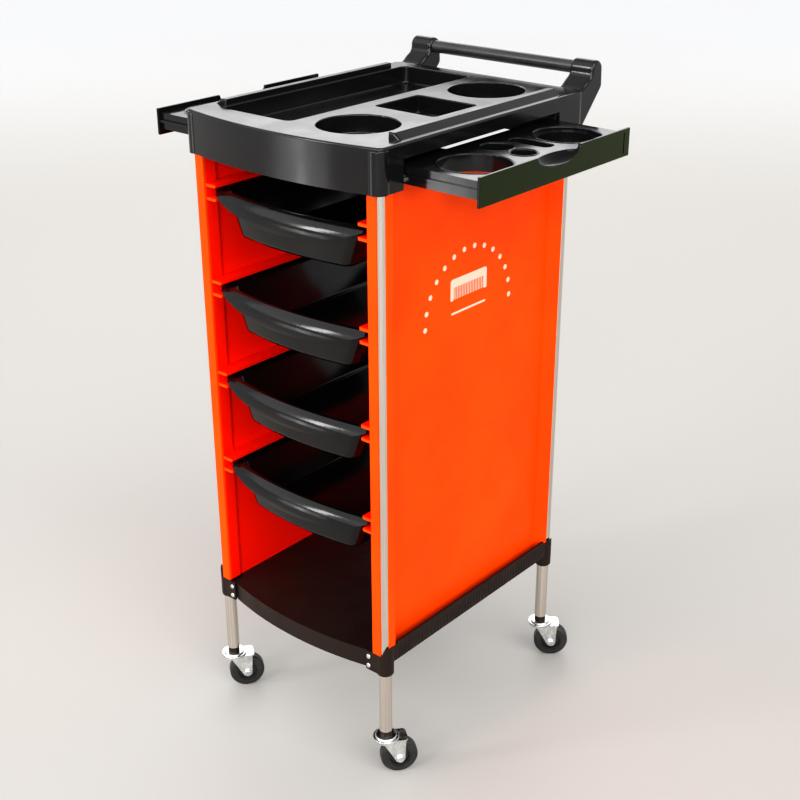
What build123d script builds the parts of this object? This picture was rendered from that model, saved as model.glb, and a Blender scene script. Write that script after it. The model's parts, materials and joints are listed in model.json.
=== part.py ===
"""Salon trolley: top tray with a push handle, two side drawers, four front
drawers, side panels on tube posts, a base shelf and four swivel casters.

Lengths are millimetres. X is across the trolley, -Y is its front, Z is up.
The parts are drawn about the middle of the four posts, and save() moves them
so that the origin is on the floor under the middle of the whole footprint.
"""
from build123d import *
import math
import os

# ---- driving dimensions: posts and overall layout ----
POST_X = 146.0            # post axis from the mid-plane
POST_Y = 176.0            # post axis in front of and behind the posts' middle
POST_R = 8.5
POST_WALL = 1.2
POST_BOTTOM = 67.0
POST_TOP = 838.0
SLIP = 0.1                # gap round a post in its sockets

# ---- top tray ----
TRAY_HALF = 156.5
TRAY_FRONT = -206.0
TRAY_REAR = 206.0
TRAY_FRONT_R = 645.0      # plan radius of the bowed front
TRAY_TOP = 845.0
TRAY_BOTTOM = 792.0
TRAY_WALL = 3.0
WELL_FLOOR = 822.0
WELL_UNDERSIDE = 819.5
WELL_WALL = 2.5
WELL_RIM_R = 1.6
OPENING_HALF = 150.0      # side drawer opening, half its length
OPENING_TOP = 827.0
COLUMN_AT = (145.0, -179.0)   # proud round corner columns at the front
COLUMN_R = 12.5
COLUMN_TOP = 842.0
RIDGE_LENGTH = 306.0      # raised bars along the tray's sides
RIDGE_REAR = 160.0
RIDGE_NOSE_R = 3.0
REAR_LIP_HALF = 112.0     # deeper stretch of the rear skirt
REAR_LIP_BOTTOM = 778.0
BOSS_WALL = 3.0
RECESS_X = (-126.0, -11.0)
RECESS_Y = (-157.0, 184.0)
SQUARE_X = (10.0, 104.0)
SQUARE_Y = (-33.0, 50.0)
ROUND_R = 49.0
ROUND_WELLS = ((59.0, -115.5), (58.0, 128.5))

# ---- push handle ----
ARM_X = (116.0, 152.0)
ARM_ROOT_Y = 203.2        # inner face of the arm inside the rear skirt
ARM_KNEE_Z = 842.0
HANDLE_Y = 239.5
HANDLE_Z = 865.0
HANDLE_R = 8.5
ROLL_R = 12.0
HANDLE_BACK = 252.5
HANDLE_SEAT = 12.0        # length of tube held in each arm

# ---- side drawers, drawn pulled out ----
SIDE_OUT = 260.0          # outer face of the pulled-out fascia
SIDE_TRAVEL = 103.0
FASCIA_T = 4.0
FASCIA_HALF = 148.0
FASCIA_Z = (789.6, 823.6)
SIDE_INNER = 142.0        # inner end of the pulled-out drawer
SIDE_WALL = 2.0
SIDE_HALF = 143.5
SIDE_Z = (797.0, 818.0)
LEDGE_Z = (806.0, 809.0)
LEDGE_REACH = 3.1
RUNNER_X = (22.0, 150.0)
RUN_GAP = 0.3             # clearance between sliding faces
SCOOP_HALF = 43.0
SCOOP_DEPTH = 17.0
TROUGH_X = (170.0, 228.0)
TROUGH_Y = (20.0, 40.0)
TROUGH_FLOOR = 809.0
BOTTLE_AT = (209.0, 88.0)
BOTTLE_STEP_R = 40.0      # wide shallow step round the bottle cup's mouth
BOTTLE_STEP_Z = 813.0
CUPS = (                  # centre, radius and whether the cup has a floor
    (207.0, -88.0, 42.0, False),
    (180.5, -13.0, 19.0, True),
    (219.5, -14.0, 15.0, True),
    (209.0, 88.0, 34.5, True),
)

# ---- side panels ----
WEB_X = (138.0, 141.0)
WEB_END_Y = 158.0
PANEL_TOP = 794.0
FLANGE_INNER = 133.5
FLANGE_FRONT = 186.0
RIB_INNER = 117.0
RIB_T = 3.6
RIB_Y = (-184.0, 165.0)
RIB_ABOVE = 4.4           # gap from a drawer's rim to the rib over it
RIB_ROUND = 2.0

# ---- front drawers ----
DRAWER_COUNT = 4
DRAWER_TOP = 747.5
DRAWER_PITCH = 124.8
DRAWER_RIM_HALF = 130.5
DRAWER_RIM_H = 8.5
DRAWER_BACK = 165.0
TUB_DEPTH = 56.0
TUB_WALL = 2.2
LIP_HALF = 121.0
LIP_MID_Y = -184.0        # rear face of the lip at the mid-plane
LIP_SAG = 12.5
LIP_BULGE = 13.0
LIP_H = 27.0
LIP_END_H = 5.0
TUB_TOP_HALF = 113.5
TUB_BASE_HALF = 91.0
TUB_TOP_REAR = 163.0
TUB_BASE_REAR = 156.0
TUB_BASE_ROUND = 8.0      # rounding between the tub's walls and its bottom
RIM_FRONT = -170.0
RIM_T = 2.5
SKIRT_T = 2.2

# ---- base shelf and corner sockets ----
SHELF_TOP = 184.0
SHELF_T = 3.0
APRON_Z = (160.0, 185.5)
APRON_FRONT = -198.5
APRON_R = 512.0
APRON_HALF = 122.0
APRON_T = 3.0
BAND_X = (151.0, 154.5)
BAND_Z = (174.0, 200.5)
BAND_HALF = 163.0
SOCKET_R = 11.3
SOCKET_Z = (156.0, 187.0)
SOCKET_PEAK = 200.5
FLANGE_PLATE_X = (122.6, 146.0)
FLANGE_PLATE_Y = (-187.0, -184.0)
SCREW_X = 127.5
SCREW_ZS = (166.0, 180.0)
SCREW_R = 1.6

# ---- casters ----
WHEEL_R = 25.0
WHEEL_W = 17.0
HUB_R = 15.5
HUB_HALF = 9.5
TRAIL = 17.0
AXLE_R = 3.0
STEM_R = 4.0
FIT = 0.05                # radial running clearance
CROWN_Z = (52.0, 54.5)
FORK_HALF = 12.5
FORK_T = 2.5
RACE_Z = (54.8, 59.0)
RACE_R = 17.5
CASTERS = {               # swivel angle of each trailing wheel, degrees from +X
    "front_left": (-1, -1, 53.0),
    "front_right": (1, -1, 52.0),
    "rear_left": (-1, 1, 45.0),
    "rear_right": (1, 1, 38.0),
}

# The footprint runs from the tray's front to the back of the handle.
CENTRE_Y = (TRAY_FRONT + HANDLE_BACK) / 2

os.makedirs("parts", exist_ok=True)


def save(name, shape):
    export_step(Pos(0, -CENTRE_Y, 0) * shape, f"parts/{name}.step")


def block(x, y, z):
    """Box between the low and high values given for each axis."""
    middle = Pos((x[0] + x[1]) / 2, (y[0] + y[1]) / 2, (z[0] + z[1]) / 2)
    return middle * Box(x[1] - x[0], y[1] - y[0], z[1] - z[0])


def rod(radius, x, y, z):
    """Upright cylinder between two heights."""
    return Pos(x, y, (z[0] + z[1]) / 2) * Cylinder(radius, z[1] - z[0])


def prism(face, z):
    """Plan face stood between two heights."""
    return Pos(0, 0, z[0]) * extrude(face, z[1] - z[0])


def rounded(x, y, radius):
    """Plan rectangle with rounded corners."""
    centre = Pos((x[0] + x[1]) / 2, (y[0] + y[1]) / 2)
    return centre * RectangleRounded(x[1] - x[0], y[1] - y[0], radius)


def bowed(half, front, rear, radius, front_corner, rear_corner):
    """Plan outline with an arc for its front and straight sides and rear."""
    shoulder = front + radius - math.sqrt(radius ** 2 - half ** 2)
    sides = Polyline((half, shoulder), (half, rear), (-half, rear), (-half, shoulder))
    arc = ThreePointArc((-half, shoulder), (0, front), (half, shoulder))
    face = make_face(Curve() + [sides, arc])
    rear_points = face.vertices().filter_by_position(Axis.Y, rear - 1, rear + 1)
    face = fillet(rear_points, rear_corner)
    front_points = face.vertices().filter_by_position(Axis.Y, shoulder - 1, shoulder + 1)
    return fillet(front_points, front_corner)


def both_sides(shape):
    return shape + mirror(shape, Plane.YZ)


# ---------------------------------------------------------------- top tray
def tray_outline(inset):
    return bowed(TRAY_HALF - inset, TRAY_FRONT + inset, TRAY_REAR - inset,
                 TRAY_FRONT_R - inset, 9.0 - inset, 12.0 - inset)


def well_faces(wall):
    """Plan shapes of the tray's wells, grown by a wall thickness."""
    def grown(span):
        return (span[0] - wall, span[1] + wall)

    faces = [
        rounded(grown(RECESS_X), grown(RECESS_Y), 9.0 + wall),
        rounded(grown(SQUARE_X), grown(SQUARE_Y), 5.0 + wall),
    ]
    for x, y in ROUND_WELLS:
        faces.append(Pos(x, y) * Circle(ROUND_R + wall))
    return faces


def tray_shell():
    shell = prism(tray_outline(0), (TRAY_BOTTOM, TRAY_TOP))
    shell -= prism(tray_outline(TRAY_WALL), (TRAY_BOTTOM, TRAY_TOP - TRAY_WALL))
    for face in well_faces(WELL_WALL):
        shell += prism(face, (WELL_UNDERSIDE, TRAY_TOP - TRAY_WALL))
    for face in well_faces(0):
        well = prism(face, (WELL_FLOOR, TRAY_TOP + 1))
        floor_edges = well.faces().sort_by(Axis.Z)[0].edges()
        shell -= fillet(floor_edges, 2.5)
    top = shell.faces().sort_by(Axis.Z)[-1]
    rims = [edge for wire in top.inner_wires() for edge in wire.edges()]
    shell = fillet(rims, WELL_RIM_R)
    top = shell.faces().sort_by(Axis.Z)[-1]
    return fillet(top.outer_wire().edges(), 2.8)


def tray_ridge():
    """Raised bar along the right edge of the tray, sloping away outwards."""
    section = Polyline((129.5, 844), (130.0, 852), (138.5, 852), (150.5, 844), (129.5, 844))
    bar = extrude(Plane.XZ * make_face(section), RIDGE_LENGTH)
    bar = Pos(0, RIDGE_REAR, 0) * bar
    nose = [edge for edge in bar.faces().sort_by(Axis.Y)[0].edges() if edge.center().Z > 845]
    bar = fillet(nose, RIDGE_NOSE_R)
    ends = (RIDGE_REAR - RIDGE_LENGTH + RIDGE_NOSE_R + 1, RIDGE_REAR + 1)
    along = bar.edges().filter_by(Axis.Y).filter_by_position(Axis.Y, *ends)
    return fillet([edge for edge in along if edge.center().Z > 845], 1.0)


def handle_arm():
    """Right-hand arm that rises from the rear corner and holds the tube."""
    start = (187, TRAY_TOP - 2)
    roll_front = (HANDLE_Y - ROLL_R, HANDLE_Z)
    roll_back = (HANDLE_Y + ROLL_R, HANDLE_Z)
    swoop = Spline(start, (208, TRAY_TOP + 1.2), (219.5, TRAY_TOP + 9), roll_front,
                   tangents=[(1, 0), (0, 1)])
    roll = ThreePointArc(roll_front, (HANDLE_Y, HANDLE_Z + ROLL_R), roll_back)
    back = Polyline(roll_back, (HANDLE_BACK, ARM_KNEE_Z), (211, 796), (ARM_ROOT_Y, TRAY_BOTTOM),
                    (ARM_ROOT_Y, 838), (187, 838), start)
    profile = make_face(Curve() + [swoop, roll, back])
    arm = Pos(ARM_X[0], 0, 0) * extrude(Plane.YZ * profile, ARM_X[1] - ARM_X[0])
    across = arm.edges().filter_by(Axis.X)
    knee = across.filter_by_position(Axis.Y, HANDLE_BACK - 0.1, HANDLE_BACK + 0.1)
    arm = fillet(knee.filter_by_position(Axis.Z, ARM_KNEE_Z - 0.1, ARM_KNEE_Z + 0.1), 8.0)
    sides = arm.faces().sort_by(Axis.X)
    corners = [edge for side in (sides[0], sides[-1]) for edge in side.edges()
               if edge.center().Y > TRAY_REAR - 1]
    arm = fillet(corners, 4.5)
    seat = Pos(ARM_X[0], HANDLE_Y, HANDLE_Z) * Rot(0, 90, 0) * Cylinder(HANDLE_R, 2 * HANDLE_SEAT)
    return arm - seat


def make_corner_column():
    """Front right column that stands a little proud of the skirt."""
    column = rod(COLUMN_R, *COLUMN_AT, (TRAY_BOTTOM, COLUMN_TOP))
    return fillet(column.faces().sort_by(Axis.Z)[-1].edges(), 2.2)


def make_rear_lip():
    """Deeper middle stretch of the rear skirt, between the handle arms."""
    lip = block((-REAR_LIP_HALF, REAR_LIP_HALF), (TRAY_REAR - TRAY_WALL, TRAY_REAR),
                (REAR_LIP_BOTTOM, TRAY_BOTTOM + 1))
    corners = lip.edges().filter_by(Axis.Y).sort_by(Axis.Z)[:2]
    return fillet(corners, 9.0)


def make_top_tray():
    tray = tray_shell()
    bosses = Part()
    for sx in (-1, 1):
        for sy in (-1, 1):
            bosses += rod(POST_R + BOSS_WALL, sx * POST_X, sy * POST_Y,
                          (TRAY_BOTTOM, TRAY_TOP - 2))
    tray += bosses & prism(tray_outline(1.0), (TRAY_BOTTOM, TRAY_TOP - 2))
    tray += both_sides(make_corner_column())
    tray += make_rear_lip()
    tray += both_sides(tray_ridge())
    tray += both_sides(handle_arm())
    for sx in (-1, 1):
        for sy in (-1, 1):
            tray -= rod(POST_R + SLIP, sx * POST_X, sy * POST_Y,
                        (TRAY_BOTTOM - 1, POST_TOP + SLIP))
    opening = block((148, 160), (-OPENING_HALF, OPENING_HALF), (TRAY_BOTTOM - 1, OPENING_TOP))
    return tray - both_sides(opening)


# ---------------------------------------------------------------- side drawers
def scoop(grow):
    """Spindle-shaped finger scoop on the top edge of the right fascia."""
    half = SCOOP_HALF + grow
    depth = SCOOP_DEPTH + grow
    bowl = scale(Sphere(1.0), by=(depth, half, depth))
    return Pos(SIDE_OUT, 0, FASCIA_Z[1]) * bowl


def make_side_fascia():
    inner = SIDE_OUT - FASCIA_T
    plate = block((inner, SIDE_OUT), (-FASCIA_HALF, FASCIA_HALF), FASCIA_Z)
    plate = fillet(plate.edges(), 0.9)
    groove = block((SIDE_OUT - 0.8, SIDE_OUT + 1), (134, 136.2), (FASCIA_Z[0] + 4, FASCIA_Z[1] - 4))
    keep = block((SIDE_OUT - 40, inner + 1), (-60, 60), (FASCIA_Z[0], SIDE_Z[1]))
    return (plate - groove) + (scoop(1.8) & keep) - scoop(0)


def make_side_drawer():
    """Right-hand drawer: a deck with cups through it and a slide ledge at each end."""
    deck = SIDE_Z[1] - 2.5
    x = (SIDE_INNER, SIDE_OUT - FASCIA_T)
    inside_x = (x[0] + SIDE_WALL, x[1] - SIDE_WALL)
    inside_y = (-SIDE_HALF + SIDE_WALL, SIDE_HALF - SIDE_WALL)
    drawer = block(x, (-SIDE_HALF, SIDE_HALF), SIDE_Z)
    drawer -= block(inside_x, inside_y, (SIDE_Z[0] - 1, deck))
    for side in (-1, 1):
        edges = sorted((side * SIDE_HALF, side * (SIDE_HALF + LEDGE_REACH)))
        drawer += block(x, edges, LEDGE_Z)
    trough = rounded(TROUGH_X, TROUGH_Y, 8.0)
    above = SIDE_Z[1] + 1
    drawer += prism(offset(trough, SIDE_WALL), (TROUGH_FLOOR - SIDE_WALL, deck))
    for cx, cy, radius, _ in CUPS:
        drawer += rod(radius + SIDE_WALL, cx, cy, (SIDE_Z[0] + 1, deck))
    drawer += rod(BOTTLE_STEP_R + SIDE_WALL, *BOTTLE_AT, (BOTTLE_STEP_Z - SIDE_WALL, deck))
    drawer -= prism(trough, (TROUGH_FLOOR, above))
    drawer -= rod(BOTTLE_STEP_R, *BOTTLE_AT, (BOTTLE_STEP_Z, above))
    for cx, cy, radius, has_floor in CUPS:
        bottom = SIDE_Z[0] + (3 if has_floor else -1)
        drawer -= rod(radius, cx, cy, (bottom, above))
    top = drawer.faces().sort_by(Axis.Z)[-1]
    rims = [edge for wire in top.inner_wires() for edge in wire.edges()]
    drawer = fillet(rims, 0.9)
    return drawer - scoop(1.9)


def make_runner():
    """C-shaped guide under the tray for the front end of the right drawer."""
    web = (-OPENING_HALF, -SIDE_HALF - LEDGE_REACH - RUN_GAP)
    reach = (-OPENING_HALF, -SIDE_HALF - 0.6)
    low = LEDGE_Z[0] - RUN_GAP
    high = LEDGE_Z[1] + RUN_GAP
    runner = block(RUNNER_X, web, (low - 3, WELL_UNDERSIDE))
    runner += block(RUNNER_X, reach, (low - 3, low))
    runner += block(RUNNER_X, reach, (high, high + 2.5))
    return runner


# ---------------------------------------------------------------- side panels
def rib_levels():
    """Underside of the upper rib and top of the lower rib for each drawer."""
    levels = []
    for index in range(DRAWER_COUNT):
        rim = DRAWER_TOP - index * DRAWER_PITCH
        levels.append((rim + RIB_ABOVE, rim - DRAWER_RIM_H - 0.5))
    return levels


def post_channel():
    """Plan of the moulded channel round the front right post."""
    outline = Polyline((FLANGE_INNER, -FLANGE_FRONT), (156, -FLANGE_FRONT), (156, -167.5),
                       (141, -WEB_END_Y), (138, -WEB_END_Y), (FLANGE_INNER, -166),
                       (FLANGE_INNER, -FLANGE_FRONT))
    face = make_face(outline) - Pos(POST_X, -POST_Y) * Circle(POST_R + SLIP)
    return face


def make_panel():
    """Right-hand side panel with its post channels and drawer ribs."""
    web = block(WEB_X, (-WEB_END_Y - 1, WEB_END_Y + 1), (SHELF_TOP, PANEL_TOP))
    channel_z = (SOCKET_Z[1], TRAY_BOTTOM)
    front_bite = Pos(158, -186) * Rectangle(22.4, 15)
    rear_bite = Pos(158, 182) * Rectangle(22.4, 29)
    front = prism(post_channel() - front_bite, channel_z)
    rear = prism(mirror(post_channel(), Plane.XZ) - rear_bite, channel_z)
    panel = web + front + rear
    for upper, lower in rib_levels():
        for z in ((upper, upper + RIB_T), (lower - RIB_T, lower)):
            rib = block((RIB_INNER, WEB_X[0] + 1), RIB_Y, z)
            panel += fillet(rib.edges().filter_by(Axis.Z).sort_by(Axis.X)[:2], RIB_ROUND)
    panel -= rod(POST_R + SLIP, POST_X, -POST_Y, (SHELF_TOP, PANEL_TOP))
    return panel - socket_peak_wedge(0.2)


# ---------------------------------------------------------------- front drawers
def tub_face(inset, half, mid_y, rear):
    return bowed(half - inset, mid_y + inset, rear - inset, 480.0, 16.0 - inset, 10.0 - inset)


def tub_top(inset):
    return tub_face(inset, TUB_TOP_HALF, LIP_MID_Y - 1, TUB_TOP_REAR)


def tub_base(inset):
    return tub_face(inset, TUB_BASE_HALF, LIP_MID_Y + 4, TUB_BASE_REAR)


def make_lip():
    """Convex crescent pull; z = 0 is its top."""
    axis_y = LIP_MID_Y + LIP_HALF ** 2 / (2 * LIP_SAG) + LIP_SAG / 2
    front = Spline((LIP_MID_Y - 3, 0), (LIP_MID_Y - LIP_BULGE, -LIP_H * 0.6),
                   (LIP_MID_Y - LIP_BULGE + 2, -LIP_H))
    back = Polyline((LIP_MID_Y - LIP_BULGE + 2, -LIP_H), (LIP_MID_Y + 2, -LIP_H),
                    (LIP_MID_Y + 2, 0), (LIP_MID_Y - 3, 0))
    section = Plane.YZ * make_face(Curve() + [front, back])
    turn = 2 * math.degrees(math.asin((LIP_HALF + 8) / (axis_y - LIP_MID_Y)))
    axis = Axis((0, axis_y, 0), (0, 0, 1))
    swept = revolve(section.rotate(axis, -turn / 2), axis, turn)
    top = Line((LIP_HALF, 0), (-LIP_HALF, 0))
    left = Line((-LIP_HALF, 0), (-LIP_HALF, -LIP_END_H))
    low = ThreePointArc((-LIP_HALF, -LIP_END_H), (0, -LIP_H), (LIP_HALF, -LIP_END_H))
    right = Line((LIP_HALF, -LIP_END_H), (LIP_HALF, 0))
    crescent = extrude(Plane.XZ * make_face(Curve() + [top, left, low, right]), 300, both=True)
    return swept & crescent


def make_drawer():
    """Front drawer with the top of its rim at z = 0."""
    outer = loft([tub_top(0), Pos(0, 0, -TUB_DEPTH) * tub_base(0)])
    inner = loft([tub_top(TUB_WALL), Pos(0, 0, TUB_WALL - TUB_DEPTH) * tub_base(TUB_WALL)])
    outer = fillet(outer.faces().sort_by(Axis.Z)[0].edges(), TUB_BASE_ROUND)
    inner = fillet(inner.faces().sort_by(Axis.Z)[0].edges(), TUB_BASE_ROUND - TUB_WALL)
    across = (-DRAWER_RIM_HALF, DRAWER_RIM_HALF)
    side_x = (DRAWER_RIM_HALF - SKIRT_T, DRAWER_RIM_HALF)
    along = (RIM_FRONT, DRAWER_BACK)
    rim = block(across, along, (-RIM_T, 0))
    skirt = block(side_x, along, (-DRAWER_RIM_H, 0))
    rear_skirt = block(across, (DRAWER_BACK - SKIRT_T, DRAWER_BACK), (-DRAWER_RIM_H, 0))
    drawer = outer + rim + both_sides(skirt) + rear_skirt + make_lip()
    return drawer - inner - prism(tub_top(TUB_WALL), (-1, 1))


# ---------------------------------------------------------------- base
def socket_peak_wedge(gap):
    """Wedge beside the right-hand posts where the sockets rise outside the panel."""
    low = SOCKET_Z[1] + gap
    high = SOCKET_PEAK + gap
    profile = Polyline((147 - gap, low - 1), (147 - gap, low), (156.2, high), (170, high),
                       (170, low - 1), (147 - gap, low - 1))
    return Pos(0, 200, 0) * extrude(Plane.XZ * make_face(profile), 400)


def apron_face(inset):
    return bowed(BAND_X[1] - inset, APRON_FRONT + inset, FLANGE_FRONT - inset,
                 APRON_R - inset, 3.0, 3.0)


def make_base_shelf():
    corner_x = (APRON_HALF, 170)
    corner_y = (BAND_HALF, 220)
    corners = Part()
    for sx in (-1, 1):
        for sy in (-1, 1):
            x = sorted((sx * corner_x[0], sx * corner_x[1]))
            y = sorted((sy * corner_y[0], sy * corner_y[1]))
            corners += block(x, y, (100, 300))
    floor = prism(apron_face(1.0), (SHELF_TOP - SHELF_T, SHELF_TOP))
    ring = apron_face(0) - apron_face(APRON_T)
    apron = prism(ring, APRON_Z) - block((-160, 160), (-BAND_HALF, BAND_HALF), (100, 300))
    band = both_sides(block(BAND_X, (-BAND_HALF, BAND_HALF), BAND_Z))
    shelf = floor + apron + band - corners
    tab = block((112, 132.4), (-183.6, -181.4), (162, SHELF_TOP))
    tab += block((112, 132.4), (181.4, 183.6), (162, SHELF_TOP))
    shelf += both_sides(tab)
    for z in SCREW_ZS:
        shelf -= screw_holes(z)
    return shelf


def screw_holes(z):
    holes = Part()
    for sx in (-1, 1):
        for sy in (-1, 1):
            holes += Pos(sx * SCREW_X, sy * 184, z) * Rot(90, 0, 0) * Cylinder(SCREW_R + FIT, 12)
    return holes


def make_socket():
    """Front right corner piece: a collar round the post, a flange and a floor gusset."""
    collar = rod(SOCKET_R, POST_X, -POST_Y, (SOCKET_Z[0], SOCKET_PEAK))
    collar = fillet(collar.faces().sort_by(Axis.Z)[0].edges(), 3.0)
    above = block((120, 170), (-200, -150), (SOCKET_Z[1], SOCKET_PEAK + 1))
    collar -= above - socket_peak_wedge(0)
    flange = block(FLANGE_PLATE_X, FLANGE_PLATE_Y, (159, SOCKET_Z[1]))
    flange = fillet(flange.edges().filter_by(Axis.Y), 1.2)
    floor_z = (SHELF_TOP - SHELF_T, SHELF_TOP)
    gusset = block((132.7, BAND_X[0]), (-184, -BAND_HALF), floor_z)
    gusset += block((APRON_HALF, 133), (-181.1, -BAND_HALF), floor_z)
    side = block(BAND_X, (-POST_Y, -BAND_HALF), BAND_Z)
    side -= block((120, 170), (-200, -150), (SOCKET_Z[1], SOCKET_PEAK + 1)) - socket_peak_wedge(0)
    socket = collar + flange + gusset + side
    socket -= rod(POST_R + SLIP, POST_X, -POST_Y, (100, 300))
    for z in SCREW_ZS:
        socket -= screw_holes(z)
    return socket


def make_socket_screws():
    """Pan-head screws with crossed recesses through the corner flanges."""
    screws = []
    for z in SCREW_ZS:
        head = Cylinder(3.3, 1.8)
        head = fillet(head.faces().sort_by(Axis.Z)[-1].edges(), 1.1)
        cross = Box(3.6, 0.7, 1.0) + Box(0.7, 3.6, 1.0)
        screw = head - Pos(0, 0, 0.7) * cross + Pos(0, 0, -3.4) * Cylinder(SCREW_R, 5.0)
        front = Pos(SCREW_X, FLANGE_PLATE_Y[0] - 0.9, z) * Rot(90, 0, 0) * screw
        for shape in (front, mirror(front, Plane.XZ)):
            screws += [shape, mirror(shape, Plane.YZ)]
    return Compound(children=screws)


# ---------------------------------------------------------------- posts and casters
def make_post():
    tube = rod(POST_R, 0, 0, (POST_BOTTOM, POST_TOP))
    return tube - rod(POST_R - POST_WALL, 0, 0, (POST_BOTTOM - 1, POST_TOP + 1))


def make_sleeve():
    """Plastic plug in the post's lower end, with a collar under the tube."""
    plug_r = POST_R - POST_WALL
    sleeve = rod(plug_r, 0, 0, (RACE_Z[1], POST_BOTTOM + 26))
    sleeve += rod(POST_R - 0.6, 0, 0, (RACE_Z[1], POST_BOTTOM))
    return sleeve - rod(STEM_R, 0, 0, (RACE_Z[1] - 1, POST_BOTTOM + 30))


def make_stem():
    """Caster stem with its domed race and the riveted lower end."""
    race = rod(RACE_R, 0, 0, (RACE_Z[0], RACE_Z[0] + 2.0))
    race = fillet(race.edges(), 0.8)
    cup = rod(RACE_R - 3.2, 0, 0, (RACE_Z[0] + 1, RACE_Z[1]))
    cup = fillet(cup.faces().sort_by(Axis.Z)[-1].edges(), 1.4)
    stem = rod(STEM_R, 0, 0, (CROWN_Z[0] - 1.5, POST_BOTTOM + 24))
    rivet = rod(6.0, 0, 0, (CROWN_Z[0] - 1.8, CROWN_Z[0] - RUN_GAP))
    return race + cup + stem + rivet


def make_fork():
    """Fork trailing towards +X: a crown plate and two tapering legs."""
    plate = Circle(RACE_R - 0.7) + Pos(14, 0) * RectangleRounded(28, 2 * FORK_HALF, 5.0)
    crown = prism(plate, CROWN_Z)
    crown -= rod(STEM_R + FIT, 0, 0, (CROWN_Z[0] - 1, CROWN_Z[1] + 1))
    boss_r = 6.5
    boss = Pos(TRAIL, WHEEL_R) * Circle(boss_r)
    side = Polyline((-4, CROWN_Z[1]), (25, CROWN_Z[1]), (TRAIL + boss_r, WHEEL_R),
                    (TRAIL - boss_r + 1, WHEEL_R - 3), (-4, CROWN_Z[0] - 3), (-4, CROWN_Z[1]))
    leg_face = make_face(side) + boss - Pos(TRAIL, WHEEL_R) * Circle(AXLE_R)
    leg = Pos(0, -FORK_HALF + FORK_T, 0) * extrude(Plane.XZ * leg_face, FORK_T)
    return crown + leg + mirror(leg, Plane.XZ)


def make_axle():
    """Bolt through the fork and wheel, with its head at -Y and its nut at +Y."""
    def across(radius, y):
        return Pos(TRAIL, (y[0] + y[1]) / 2, WHEEL_R) * Rot(90, 0, 0) * Cylinder(radius, y[1] - y[0])

    shank = across(AXLE_R, (-FORK_HALF, FORK_HALF + 4))
    head = fillet(across(5.2, (-FORK_HALF - 3, -FORK_HALF)).edges().sort_by(Axis.Y)[:1], 1.4)
    nut = Plane.XZ * (Pos(TRAIL, WHEEL_R) * RegularPolygon(5.2, 6))
    return shank + head + Pos(0, FORK_HALF + 3.2, 0) * extrude(nut, 3.2)


def wheel_turning(points, bore):
    """Solid of revolution about the wheel's axle from half a section (y, radius)."""
    section = make_face(Polyline(*points, points[0]))
    turned = revolve(Plane.YZ * section, Axis((0, 0, 0), (0, 1, 0)))
    cut = Rot(90, 0, 0) * Cylinder(bore, 60)
    return Pos(TRAIL, 0, WHEEL_R) * (turned - cut)


def make_hub():
    face = HUB_HALF
    dish = WHEEL_W / 2 - 3.5
    points = [(-face, 0), (-face, 6.5), (-dish, 8.0), (-dish, 12.5), (-WHEEL_W / 2 + 1, 13.5),
              (-WHEEL_W / 2 + 1, HUB_R), (WHEEL_W / 2 - 1, HUB_R), (WHEEL_W / 2 - 1, 13.5),
              (dish, 12.5), (dish, 8.0), (face, 6.5), (face, 0)]
    return wheel_turning(points, AXLE_R + FIT)


def make_tyre():
    tyre = Rot(90, 0, 0) * Cylinder(WHEEL_R, WHEEL_W)
    tyre = fillet(tyre.edges(), 4.0)
    tyre -= Rot(90, 0, 0) * Cylinder(HUB_R, WHEEL_W + 2)
    return Pos(TRAIL, 0, WHEEL_R) * tyre


# ---------------------------------------------------------------- write the parts
def save_pair(name, shape):
    """Write a right-hand piece and its mirror image."""
    save(f"{name}_right", shape)
    save(f"{name}_left", mirror(shape, Plane.YZ))


def save_casters():
    fork, axle, hub, tyre = make_fork(), make_axle(), make_hub(), make_tyre()
    post, sleeve, stem = make_post(), make_sleeve(), make_stem()
    for corner, (sx, sy, angle) in CASTERS.items():
        place = Pos(sx * POST_X, sy * POST_Y, 0)
        turned = place * Rot(0, 0, angle)
        save(f"post_{corner}", place * post)
        save(f"post_sleeve_{corner}", place * sleeve)
        save(f"caster_stem_{corner}", place * stem)
        save(f"caster_fork_{corner}", turned * fork)
        save(f"caster_axle_{corner}", turned * axle)
        save(f"wheel_hub_{corner}", turned * hub)
        save(f"wheel_tyre_{corner}", turned * tyre)


def main():
    save("top_tray", make_top_tray())
    tube_length = 2 * (ARM_X[0] + HANDLE_SEAT)
    handle = Cylinder(HANDLE_R, tube_length) - Cylinder(HANDLE_R - 1.5, tube_length + 2)
    save("handle_tube", Pos(0, HANDLE_Y, HANDLE_Z) * Rot(0, 90, 0) * handle)
    save_pair("side_drawer", make_side_drawer())
    save_pair("side_drawer_fascia", make_side_fascia())
    runner = make_runner()
    save_pair("drawer_runner_front", runner)
    save_pair("drawer_runner_rear", mirror(runner, Plane.XZ))
    save_pair("side_panel", make_panel())
    drawer = make_drawer()
    for index in range(DRAWER_COUNT):
        save(f"front_drawer_{index + 1}", Pos(0, 0, DRAWER_TOP - index * DRAWER_PITCH) * drawer)
    save("base_shelf", make_base_shelf())
    socket = make_socket()
    save_pair("corner_socket_front", socket)
    save_pair("corner_socket_rear", mirror(socket, Plane.XZ))
    save("socket_screws", make_socket_screws())
    save_casters()


main()
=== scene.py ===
"""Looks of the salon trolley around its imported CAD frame: finishes, ribbed side bands,
cup rims, a pale floor, soft studio light and the camera. Lengths are metres."""

import json
import math

import bmesh
import bpy
from mathutils import Matrix, Vector


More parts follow.
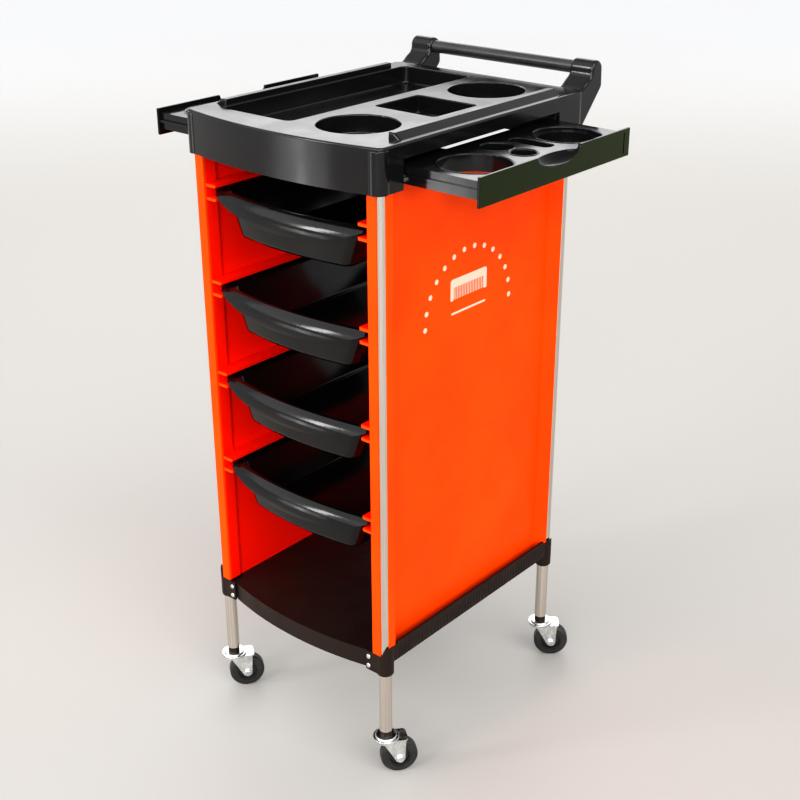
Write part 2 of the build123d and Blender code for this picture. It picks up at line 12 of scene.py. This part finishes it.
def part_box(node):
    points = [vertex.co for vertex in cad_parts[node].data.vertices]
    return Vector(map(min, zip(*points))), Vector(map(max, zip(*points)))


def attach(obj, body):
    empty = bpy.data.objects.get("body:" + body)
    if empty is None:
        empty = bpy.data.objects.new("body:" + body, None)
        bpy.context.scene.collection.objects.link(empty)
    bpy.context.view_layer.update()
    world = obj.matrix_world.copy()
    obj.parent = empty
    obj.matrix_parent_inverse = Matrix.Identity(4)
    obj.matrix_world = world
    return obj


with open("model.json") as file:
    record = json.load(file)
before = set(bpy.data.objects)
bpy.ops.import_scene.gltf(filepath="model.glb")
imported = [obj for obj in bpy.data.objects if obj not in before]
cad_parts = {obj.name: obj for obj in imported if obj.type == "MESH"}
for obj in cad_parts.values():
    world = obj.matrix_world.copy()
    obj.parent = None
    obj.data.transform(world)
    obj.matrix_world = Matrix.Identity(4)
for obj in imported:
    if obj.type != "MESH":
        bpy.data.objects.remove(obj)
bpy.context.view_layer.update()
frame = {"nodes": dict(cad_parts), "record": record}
nodes = frame["nodes"]


# ---------------------------------------------------------------- shader building
class Finish:
    """A material's node tree, built round its Principled shader."""

    def __init__(self, name, color, roughness, **sockets):
        self.material = bpy.data.materials.new(name)
        self.material.use_nodes = True
        self.tree = self.material.node_tree
        self.shader = self.tree.nodes["Principled BSDF"]
        self.shader.inputs["Base Color"].default_value = (*color, 1.0)
        self.shader.inputs["Roughness"].default_value = roughness
        for socket, value in sockets.items():
            self.shader.inputs[socket.replace("_", " ")].default_value = value
        coordinates = self.tree.nodes.new("ShaderNodeTexCoord")
        self.place = coordinates.outputs["Object"]

    def link(self, output, socket):
        self.tree.links.new(output, self.shader.inputs[socket])

    def feed(self, socket, value):
        """Link an output to a socket, or set the socket to a constant."""
        if isinstance(value, bpy.types.NodeSocket):
            self.tree.links.new(value, socket)
        else:
            socket.default_value = value

    def math(self, operation, *values):
        node = self.tree.nodes.new("ShaderNodeMath")
        node.operation = operation
        for socket, value in zip(node.inputs, values):
            self.feed(socket, value)
        return node.outputs[0]

    def noise(self, scale, detail=3.0, stretch=(1.0, 1.0, 1.0), distortion=0.0):
        mapping = self.tree.nodes.new("ShaderNodeMapping")
        mapping.inputs["Scale"].default_value = stretch
        self.tree.links.new(self.place, mapping.inputs["Vector"])
        node = self.tree.nodes.new("ShaderNodeTexNoise")
        node.inputs["Scale"].default_value = scale
        node.inputs["Detail"].default_value = detail
        node.inputs["Distortion"].default_value = distortion
        self.tree.links.new(mapping.outputs["Vector"], node.inputs["Vector"])
        return node.outputs["Fac"]

    def spread(self, value, low, high, source=(0.3, 0.7)):
        """Map a noise value onto a range."""
        node = self.tree.nodes.new("ShaderNodeMapRange")
        node.interpolation_type = "SMOOTHSTEP"
        settings = (value, source[0], source[1], low, high)
        for socket, setting in zip(node.inputs, settings):
            self.feed(socket, setting)
        return node.outputs["Result"]

    def mix(self, factor, first, second):
        node = self.tree.nodes.new("ShaderNodeMix")
        node.data_type = "RGBA"
        self.feed(node.inputs["Factor"], factor)
        for socket, color in ((node.inputs[6], first), (node.inputs[7], second)):
            if isinstance(color, bpy.types.NodeSocket):
                self.tree.links.new(color, socket)
            else:
                socket.default_value = (*color, 1.0)
        return node.outputs[2]

    def bump(self, height, strength, distance, under=None):
        node = self.tree.nodes.new("ShaderNodeBump")
        node.inputs["Strength"].default_value = strength
        node.inputs["Distance"].default_value = distance
        self.tree.links.new(height, node.inputs["Height"])
        if under is not None:
            self.tree.links.new(under, node.inputs["Normal"])
        return node.outputs["Normal"]

    def axes(self):
        node = self.tree.nodes.new("ShaderNodeSeparateXYZ")
        self.tree.links.new(self.place, node.inputs[0])
        return node.outputs

    def paint_over(self, mask, color):
        """Lay a colour over the one that the shader already has, where the mask is 1."""
        under = self.shader.inputs["Base Color"].links[0].from_socket
        self.link(self.mix(mask, under, color), "Base Color")


def toned(color, factor):
    return tuple(channel * factor for channel in color)


def moulded(name, color, roughness, grain=0.25, grain_size=0.0006, waviness=0.0, **sockets):
    """Injection-moulded plastic: slight colour drift, worn and handled gloss, fine grain
    and the long low waves that sink marks leave in a glossy wall."""
    finish = Finish(name, color, roughness, **sockets)
    drift = finish.noise(9.0, 2.0)
    speck = finish.noise(420.0, 2.0)
    body = finish.mix(finish.spread(drift, 0.0, 1.0), toned(color, 0.9), toned(color, 1.08))
    body = finish.mix(finish.spread(speck, 0.0, 0.2, (0.55, 0.8)), body, toned(color, 1.2))
    finish.link(body, "Base Color")
    handled = finish.noise(28.0, 5.0, distortion=0.4)
    finish.link(finish.spread(handled, roughness * 0.82, roughness * 1.22), "Roughness")
    surface = finish.bump(finish.noise(1.0 / grain_size, 2.0), grain, 0.00004)
    if waviness:
        surface = finish.bump(finish.noise(14.0, 1.0), waviness, 0.004, surface)
    finish.link(surface, "Normal")
    return finish


# ---------------------------------------------------------------- finishes
# Stretches of X or Y over which a finish changes, between one CAD face and the next. The first
# three bound the painted shade on the faces between the two panels.
PANEL_WALL_X = (0.1390, 0.1402)
FRONT_FLANGE_Y = (-0.2070, -0.2045)
REAR_FLANGE_Y = (0.1610, 0.1625)
FASCIA_WALL_X = (0.2585, 0.2600)


def orange_panel(name, printed):
    """Orange polypropylene, with painted shade: the faces between the two panels are coloured
    deeper and redder, standing in for the shade and bounced orange light there.
    """
    # The second colour is painted shade: the deep red that the faces between the panels take on in
    # shade and bounced orange light.
    outer, painted_shade_color = (0.95, 0.063, 0.0), (1.0, 0.010, 0.0)
    finish = moulded(name, outer, 0.42, grain=0.1, waviness=0.05, Specular_IOR_Level=0.1)
    x, y, _ = finish.axes()
    # Painted shade: this mask picks out the faces between the two panels, and the deeper red is
    # painted over them.
    between = finish.spread(finish.math("ABSOLUTE", x), 1.0, 0.0, PANEL_WALL_X)
    behind_front = finish.spread(y, 0.0, 1.0, FRONT_FLANGE_Y)
    before_rear = finish.spread(y, 1.0, 0.0, REAR_FLANGE_Y)
    painted_shade_zone = finish.math("MULTIPLY", behind_front, before_rear)
    finish.paint_over(finish.math("MULTIPLY", between, painted_shade_zone), painted_shade_color)
    if printed:
        add_print(finish)
    return finish.material


INK_CENTRE = (-0.032, 0.604)      # Y and Z on the panel's outer face
INK_X = 0.1405                    # only the outer face lies further out than this
INK_COLOR = (0.80, 0.56, 0.42)
DOTS = 14
DOT_ARC_R = 0.084
DOT_R = 0.0034
ARC_FOOT = -0.004
COMB_SPINE = (0.0, 0.045, 0.036, 0.0055, 0.004)   # centre, half sizes, corner radius
COMB_GUARDS = [(end * 0.033, 0.036, 0.003, 0.013, 0.0015) for end in (-1, 1)]
COMB_TEETH = (0.0, 0.034, 0.0295, 0.010, 0.001)
TOOTH_PITCH = 0.0032
TOOTH_SHARE = 0.2
LINE = (0.0, 0.006, 0.034, 0.0014, 0.0012)


def add_print(finish):
    """Pale print on the outer face: a comb under an arc of dots, and a line."""
    math_of = finish.math
    x, y, z = finish.axes()
    across = math_of("SUBTRACT", y, INK_CENTRE[0])
    up = math_of("SUBTRACT", z, INK_CENTRE[1])

    def below(value, edge):
        return math_of("LESS_THAN", value, edge)

    def both(first, second):
        return math_of("MULTIPLY", first, second)

    def length(first, second):
        return math_of("POWER", math_of("ADD", both(first, first), both(second, second)), 0.5)

    def plate(centre_y, centre_z, half_y, half_z, corner):
        """Rounded rectangle."""
        away_y = math_of("ABSOLUTE", math_of("SUBTRACT", across, centre_y))
        away_z = math_of("ABSOLUTE", math_of("SUBTRACT", up, centre_z))
        out_y = math_of("MAXIMUM", math_of("SUBTRACT", away_y, half_y - corner), 0.0)
        out_z = math_of("MAXIMUM", math_of("SUBTRACT", away_z, half_z - corner), 0.0)
        return below(length(out_y, out_z), corner)

    # Fold the angle onto the nearest dot, then measure from that dot's centre.
    step = math.pi / (DOTS - 1)
    turn = math_of("ADD", math_of("ARCTAN2", up, across), step / 2)
    local = math_of("SUBTRACT", math_of("FLOORED_MODULO", turn, step), step / 2)
    reach = length(across, up)
    radial = math_of("SUBTRACT", both(reach, math_of("COSINE", local)), DOT_ARC_R)
    aside = both(reach, math_of("SINE", local))
    ink = both(below(length(radial, aside), DOT_R), math_of("GREATER_THAN", up, ARC_FOOT))
    comb = math_of("PINGPONG", across, TOOTH_PITCH / 2)
    shapes = [plate(*shape) for shape in (COMB_SPINE, *COMB_GUARDS, LINE)]
    shapes.append(both(below(comb, TOOTH_PITCH * TOOTH_SHARE), plate(*COMB_TEETH)))
    for shape in shapes:
        ink = math_of("MAXIMUM", ink, shape)
    finish.paint_over(both(ink, math_of("GREATER_THAN", x, INK_X)), INK_COLOR)


def steel_tube(name):
    """Satin steel tube, ground lengthways."""
    color = (0.66, 0.60, 0.53)
    finish = Finish(name, color, 0.2, Metallic=1.0, Anisotropic=0.3)
    streaks = finish.noise(900.0, 3.0, (1.0, 1.0, 0.006))
    cloud = finish.noise(30.0, 4.0, (1.0, 1.0, 0.25))
    tone = finish.mix(finish.spread(streaks, 0.0, 1.0), toned(color, 0.86), toned(color, 1.1))
    finish.link(tone, "Base Color")
    finish.link(finish.spread(cloud, 0.13, 0.22), "Roughness")
    finish.link(finish.bump(streaks, 0.12, 0.00004), "Normal")
    return finish.material


def zinc(name):
    """Bright zinc plate with its faint blue passivate and spangle."""
    color = (0.70, 0.73, 0.75)
    finish = Finish(name, color, 0.22, Metallic=1.0)
    cell = finish.tree.nodes.new("ShaderNodeTexVoronoi")
    cell.inputs["Scale"].default_value = 420.0
    finish.tree.links.new(finish.place, cell.inputs["Vector"])
    patch = finish.noise(90.0, 4.0, distortion=0.6)
    tone = finish.mix(finish.spread(patch, 0.0, 1.0), toned(color, 0.8), (0.80, 0.80, 0.76))
    finish.link(tone, "Base Color")
    finish.link(finish.spread(patch, 0.16, 0.34), "Roughness")
    finish.link(finish.bump(cell.outputs["Distance"], 0.06, 0.0001), "Normal")
    return finish.material


def rubber(name):
    """Black tyre rubber with dust from the floor."""
    color = (0.014, 0.0135, 0.013)
    finish = moulded(name, color, 0.42, grain=0.5, grain_size=0.0005)
    dust = finish.noise(60.0, 5.0, distortion=0.3)
    finish.paint_over(finish.spread(dust, 0.0, 0.30, (0.5, 0.75)), (0.06, 0.055, 0.05))
    return finish.material


def handle_paint(name):
    """Powder coat: the fine orange-peel of sprayed satin black."""
    color = (0.022, 0.021, 0.0215)
    finish = Finish(name, color, 0.32)
    peel = finish.noise(700.0, 2.0)
    wear = finish.noise(26.0, 5.0)
    tone = finish.mix(finish.spread(wear, 0.0, 1.0), toned(color, 0.85), toned(color, 1.25))
    finish.link(tone, "Base Color")
    finish.link(finish.spread(wear, 0.26, 0.4), "Roughness")
    finish.link(finish.bump(peel, 0.22, 0.00008), "Normal")
    return finish.material


def fascia_gloss(name):
    """Gloss black drawer front whose outer face has an olive cast."""
    black, olive = (0.0065, 0.006, 0.0062), (0.013, 0.019, 0.0045)
    finish = moulded(name, black, 0.12, grain=0.03, waviness=0.03, Specular_IOR_Level=0.17)
    x = finish.axes()[0]
    face = finish.spread(finish.math("ABSOLUTE", x), 0.0, 1.0, FASCIA_WALL_X)
    finish.paint_over(face, olive)
    return finish.material


SLOT_FINISH = {
    "gloss_black_abs": moulded(
        "gloss_black_abs", (0.0085, 0.008, 0.0082), 0.15, grain=0.05, waviness=0.16,
        Specular_IOR_Level=0.38).material,
    "dark_gloss_fascia": fascia_gloss("dark_gloss_fascia"),
    "black_drawer_plastic": moulded(
        "black_drawer_plastic", (0.0045, 0.0038, 0.0035), 0.13, grain=0.05, waviness=0.2,
        Specular_IOR_Level=0.4).material,
    "black_handle_paint": handle_paint("black_handle_paint"),
    "orange_plastic": orange_panel("orange_plastic", False),
    "matte_black_plastic": moulded(
        "matte_black_plastic", (0.016, 0.009, 0.0065), 0.45, grain=0.2,
        Specular_IOR_Level=0.25).material,
    "brushed_steel_tube": steel_tube("brushed_steel_tube"),
    "zinc_plate": zinc("zinc_plate"),
    "wheel_hub_nylon": moulded("wheel_hub_nylon", (0.016, 0.016, 0.016), 0.4).material,
    "wheel_rubber": rubber("wheel_rubber"),
}
printed_panel = orange_panel("orange_plastic_printed", True)

node_slots = {part["node"]: part["material_slot"] for part in frame["record"]["subparts"]}
for node_name, node in nodes.items():
    finish = SLOT_FINISH[node_slots[node_name]]
    if node_name == "side_panel_right":
        finish = printed_panel
    for index in range(len(node.material_slots)):
        node.material_slots[index].material = finish


# ---------------------------------------------------------------- pieces
def half_round(width, height, steps=8):
    """Half-round section as points (across, outwards)."""
    points = []
    for step in range(steps + 1):
        angle = math.pi * step / steps
        points.append((-math.cos(angle) * width / 2, math.sin(angle) * height))
    return points


def join_rings(mesh, first, second):
    for index in range(len(first)):
        after = (index + 1) % len(first)
        mesh.faces.new((first[index], first[after], second[after], second[index]))


def add_piece(name, mesh, slot, body):
    """Turn a bmesh into a smooth piece that rides on a body."""
    bmesh.ops.recalc_face_normals(mesh, faces=mesh.faces)
    data = bpy.data.meshes.new(name)
    mesh.to_mesh(data)
    mesh.free()
    data.polygons.foreach_set("use_smooth", [True] * len(data.polygons))
    data.materials.append(SLOT_FINISH[slot])
    piece = bpy.data.objects.new(name, data)
    bpy.context.scene.collection.objects.link(piece)
    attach(piece, body)


# ---------------------------------------------------------------- ribbed side bands
RIB_PITCH = 0.0065
RIB_WIDTH = 0.0036
RIB_DEPTH = 0.0009
RIB_SINK = 0.0003         # how far a rib's foot lies inside the band
RIB_TAPER = 0.0008        # length of a rib's rounded end
RIB_TIP = 0.35            # share of the section that is left at the tip
BAND_HEIGHT = 0.0265
BAND_EDGE = 0.0022        # plain strip above and below the ribs
SOCKET_GAP = 0.004        # plain strip by the corner sockets, both together


def make_band_ribs(side):
    """Upright ribs along one side band of the base shelf, with rounded ends."""
    low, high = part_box("base_shelf")
    face_x = high.x if side > 0 else low.x
    socket_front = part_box("corner_socket_front_right")[1].y
    socket_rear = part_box("corner_socket_rear_right")[0].y
    bottom, top = high.z - BAND_HEIGHT + BAND_EDGE, high.z - BAND_EDGE
    levels = ((bottom, RIB_TIP), (bottom + RIB_TAPER, 1.0), (top - RIB_TAPER, 1.0), (top, RIB_TIP))
    count = int((socket_rear - socket_front - SOCKET_GAP) / RIB_PITCH)
    start = (socket_front + socket_rear) / 2 - (count - 1) * RIB_PITCH / 2
    mesh = bmesh.new()
    for index in range(count):
        centre = start + index * RIB_PITCH
        rings = []
        for z, size in levels:
            rings.append([
                mesh.verts.new((face_x + side * (out * size - RIB_SINK), centre + along * size, z))
                for along, out in half_round(RIB_WIDTH, RIB_DEPTH)])
        for first, second in zip(rings, rings[1:]):
            join_rings(mesh, first, second)
        mesh.faces.new(reversed(rings[0]))
        mesh.faces.new(rings[-1])
    name = "band_ribs_" + ("right" if side > 0 else "left")
    add_piece(name, mesh, "matte_black_plastic", "frame")


for side in (-1, 1):
    make_band_ribs(side)


# ---------------------------------------------------------------- cup rims of the side drawers
RIM_WIDTH = 0.0024
RIM_HEIGHT = 0.0009
RIM_OFF = 0.0009          # the hole's own rounded edge, which the rim stands outside
RIM_SINK = 0.0001         # how far a rim's foot lies inside the deck
RIM_TURNS = 72            # sections round one rim
HOLE_RADII = {"dryer_hole": 0.042, "brush_cup": 0.019, "comb_cup": 0.015, "bottle_cup": 0.040}


def make_cup_rims(side):
    """Low half-round beads round the holes of one side drawer's deck."""
    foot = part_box("side_drawer_" + side)[1].z - RIM_SINK
    boxes = {opening["name"]: opening["box_m"]
             for opening in frame["record"]["physics"]["openings"]}
    section = half_round(RIM_WIDTH, RIM_HEIGHT)
    mesh = bmesh.new()
    for hole, hole_radius in HOLE_RADII.items():
        low, high = boxes[f"{hole}_{side}"]
        centre_x, centre_y = ((low[axis] + high[axis]) / 2 for axis in range(2))
        middle = hole_radius + RIM_OFF + RIM_WIDTH / 2
        rings = []
        for turn in range(RIM_TURNS):
            angle = 2 * math.pi * turn / RIM_TURNS
            rings.append([
                mesh.verts.new((centre_x + (middle + across) * math.cos(angle),
                                centre_y + (middle + across) * math.sin(angle), foot + out))
                for across, out in section])
        for first, second in zip(rings, rings[1:] + rings[:1]):
            join_rings(mesh, first, second)
    add_piece("cup_rims_" + side, mesh, "black_drawer_plastic", "side_drawer_" + side)


for side in ("left", "right"):
    make_cup_rims(side)


# ---------------------------------------------------------------- floor, light and camera
FLOOR_RADIUS = 40.0
FLOOR_NEAR, FLOOR_FAR = (0.435, 0.418, 0.392), (0.63, 0.63, 0.63)
FLOOR_FADE = (2.4, 6.0)           # distance over which the floor goes from near to far


def make_floor():
    mesh = bmesh.new()
    bmesh.ops.create_circle(mesh, cap_ends=True, radius=FLOOR_RADIUS, segments=96)
    data = bpy.data.meshes.new("floor")
    mesh.to_mesh(data)
    mesh.free()
    floor = bpy.data.objects.new("floor", data)
    bpy.context.scene.collection.objects.link(floor)
    finish = Finish("floor", FLOOR_NEAR, 0.45, Specular_IOR_Level=0.25)
    x, y, _ = finish.axes()
    square = finish.math("ADD", finish.math("MULTIPLY", x, x), finish.math("MULTIPLY", y, y))
    far = finish.spread(finish.math("POWER", square, 0.5), 0.0, 1.0, FLOOR_FADE)
    finish.link(finish.mix(far, FLOOR_NEAR, FLOOR_FAR), "Base Color")
    data.materials.append(finish.material)


def add_softbox(name, place, aim, size, power):
    light = bpy.data.lights.new(name, "AREA")
    light.shape = "RECTANGLE"
    light.size, light.size_y = size
    light.energy = power
    lamp = bpy.data.objects.new(name, light)
    lamp.location = place
    lamp.rotation_euler = (Vector(aim) - Vector(place)).to_track_quat("-Z", "Y").to_euler()
    lamp.visible_camera = False
    bpy.context.scene.collection.objects.link(lamp)


def add_sun(name, towards, spread, strength):
    """Very soft far light from one side of the sky, so that the floor stays evenly lit."""
    light = bpy.data.lights.new(name, "SUN")
    light.energy = strength
    light.angle = math.radians(spread)
    lamp = bpy.data.objects.new(name, light)
    lamp.rotation_euler = Vector(towards).to_track_quat("Z", "Y").to_euler()
    lamp.visible_camera = False
    bpy.context.scene.collection.objects.link(lamp)


WALL_LIGHT, CEILING_LIGHT = (0.97, 0.98, 1.0), (0.75, 0.75, 0.77)
CEILING_FADE = (0.35, 0.85)       # height in the sky over which wall becomes ceiling


def add_world():
    """White walls all round under a dimmer ceiling."""
    world = bpy.data.worlds.new("studio")
    world.use_nodes = True
    tree = world.node_tree
    background = tree.nodes["Background"]
    background.inputs["Strength"].default_value = 1.0
    direction = tree.nodes.new("ShaderNodeTexCoord")
    axes = tree.nodes.new("ShaderNodeSeparateXYZ")
    tree.links.new(direction.outputs["Generated"], axes.inputs[0])
    height = tree.nodes.new("ShaderNodeMapRange")
    height.interpolation_type = "SMOOTHSTEP"
    height.inputs["From Min"].default_value = CEILING_FADE[0]
    height.inputs["From Max"].default_value = CEILING_FADE[1]
    tree.links.new(axes.outputs["Z"], height.inputs["Value"])
    sky = tree.nodes.new("ShaderNodeMix")
    sky.data_type = "RGBA"
    sky.inputs[6].default_value = (*WALL_LIGHT, 1.0)
    sky.inputs[7].default_value = (*CEILING_LIGHT, 1.0)
    tree.links.new(height.outputs["Result"], sky.inputs["Factor"])
    tree.links.new(sky.outputs[2], background.inputs["Color"])
    bpy.context.scene.world = world


CAMERA_PLACE = (1.08698, -1.26637, 1.19780)
CAMERA_LENS = 60.24               # millimetres, on a sensor 36 mm wide
CAMERA_TURN, CAMERA_DOWN, CAMERA_ROLL = 40.6, 24.69, -0.19      # degrees


def add_camera():
    camera = bpy.data.cameras.new("camera")
    camera.sensor_width = 36.0
    camera.lens = CAMERA_LENS
    camera.dof.use_dof = False
    holder = bpy.data.objects.new("camera", camera)
    turn = Matrix.Rotation(math.radians(CAMERA_TURN), 4, "Z")
    tilt = Matrix.Rotation(math.radians(90 - CAMERA_DOWN), 4, "X")
    roll = Matrix.Rotation(math.radians(CAMERA_ROLL), 4, "Z")
    holder.matrix_world = Matrix.Translation(CAMERA_PLACE) @ turn @ tilt @ roll
    bpy.context.scene.collection.objects.link(holder)
    bpy.context.scene.camera = holder


TOE = ((0.03, 0.014), (0.09, 0.064), (0.25, 0.232), (0.6, 0.592))     # shade, as shown


def set_view():
    """Standard colours with a short toe, so that blacks stay black."""
    view = bpy.context.scene.view_settings
    view.view_transform = "Standard"
    view.use_curve_mapping = True
    toe = view.curve_mapping.curves[3]
    for shade, shown in TOE:
        toe.points.new(shade, shown)
    view.curve_mapping.update()


make_floor()
add_world()
for softbox in (                  # name, place, aim, size, power
    ("key", (-0.35, -3.15, 2.45), (0.05, -0.2, 0.65), (0.9, 0.9), 34.0),
    ("window", (-1.67, -2.73, 2.08), (0.05, -0.2, 0.6), (0.4, 1.0), 24.0),
    ("low_strip", (-1.02, -1.70, 0.42), (0.0, -0.23, 0.8), (0.07, 0.55), 0.7),
    ("low_panel", (-1.06, -1.78, 0.40), (0.0, -0.23, 0.8), (0.55, 0.6), 1.8),
    ("back_wall", (-2.6, 3.2, 2.75), (0.0, 0.0, 0.85), (4.2, 1.9), 54.0),
):
    add_softbox(*softbox)
for sun in (                      # name, direction, spread in degrees, strength
    ("side_sky", (0.9, -0.25, 0.75), 50.0, 2.0),
    ("front_sky", (-0.5, -0.8, 0.9), 60.0, 0.7),
    ("front_right", (0.5, -0.85, 0.22), 40.0, 1.8),
):
    add_sun(*sun)
add_camera()
set_view()
